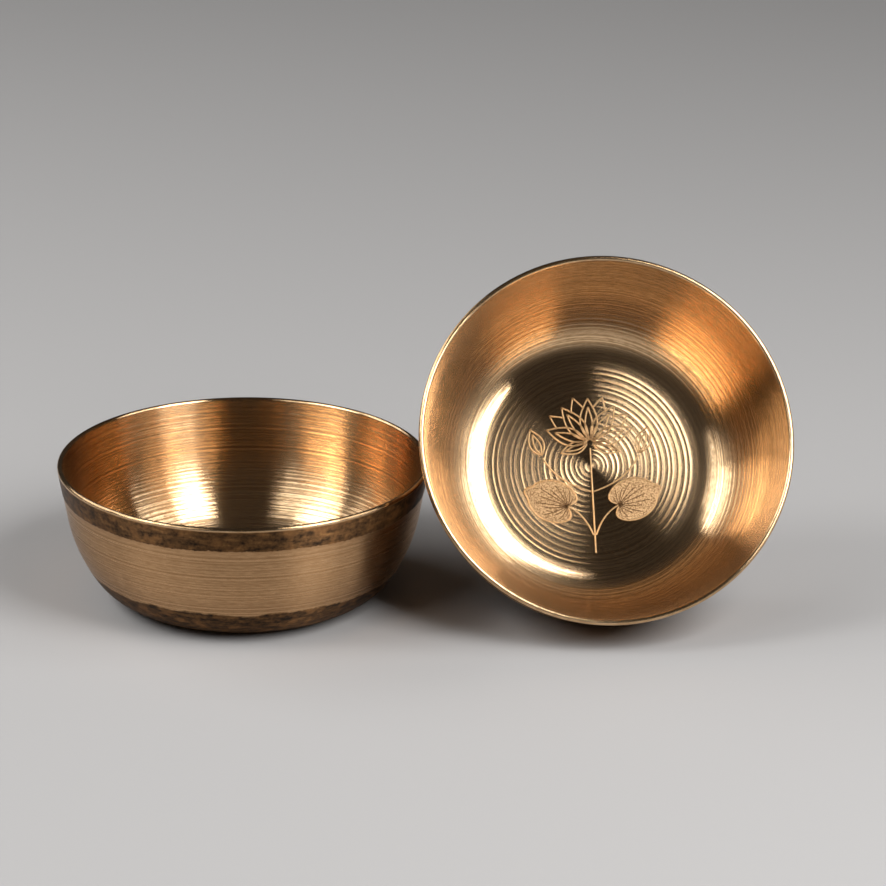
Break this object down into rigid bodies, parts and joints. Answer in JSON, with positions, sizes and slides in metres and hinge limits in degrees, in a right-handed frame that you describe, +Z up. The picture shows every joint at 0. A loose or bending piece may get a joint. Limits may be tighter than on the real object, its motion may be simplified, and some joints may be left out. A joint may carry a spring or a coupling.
{
  "type": "pair of turned bronze bowls",
  "caption": "Small round turned bronze food bowl standing on its flat base, with a loose matching bowl tipped on its side against the rim.",
  "frame": {"origin": "centre of the underside of the standing bowl's flat base", "axes": "+Z up along the standing bowl's axis; +X towards the tipped bowl; -Y forward, the way the tipped bowl's mouth faces"},
  "size_m": [0.1967, 0.1, 0.0924],
  "materials": {
    "turned_bell_metal": "lathe-turned bell metal with fine tool lines inside and on the middle of the outside, dark unturned oxide bands under the rim and round the foot, and a frosted hand-engraved lotus on the inside floor"
  },
  "bodies": {
    "standing": {"standing_bowl": "turned_bell_metal"},
    "tipped": {"tipped_bowl": "turned_bell_metal"}
  },
  "joints": [
    {"name": "bowl_lift", "type": "slide", "parent": "standing", "child": "tipped", "axis": [0, 0, 1], "range_m": [0, 0.06]}
  ]
}
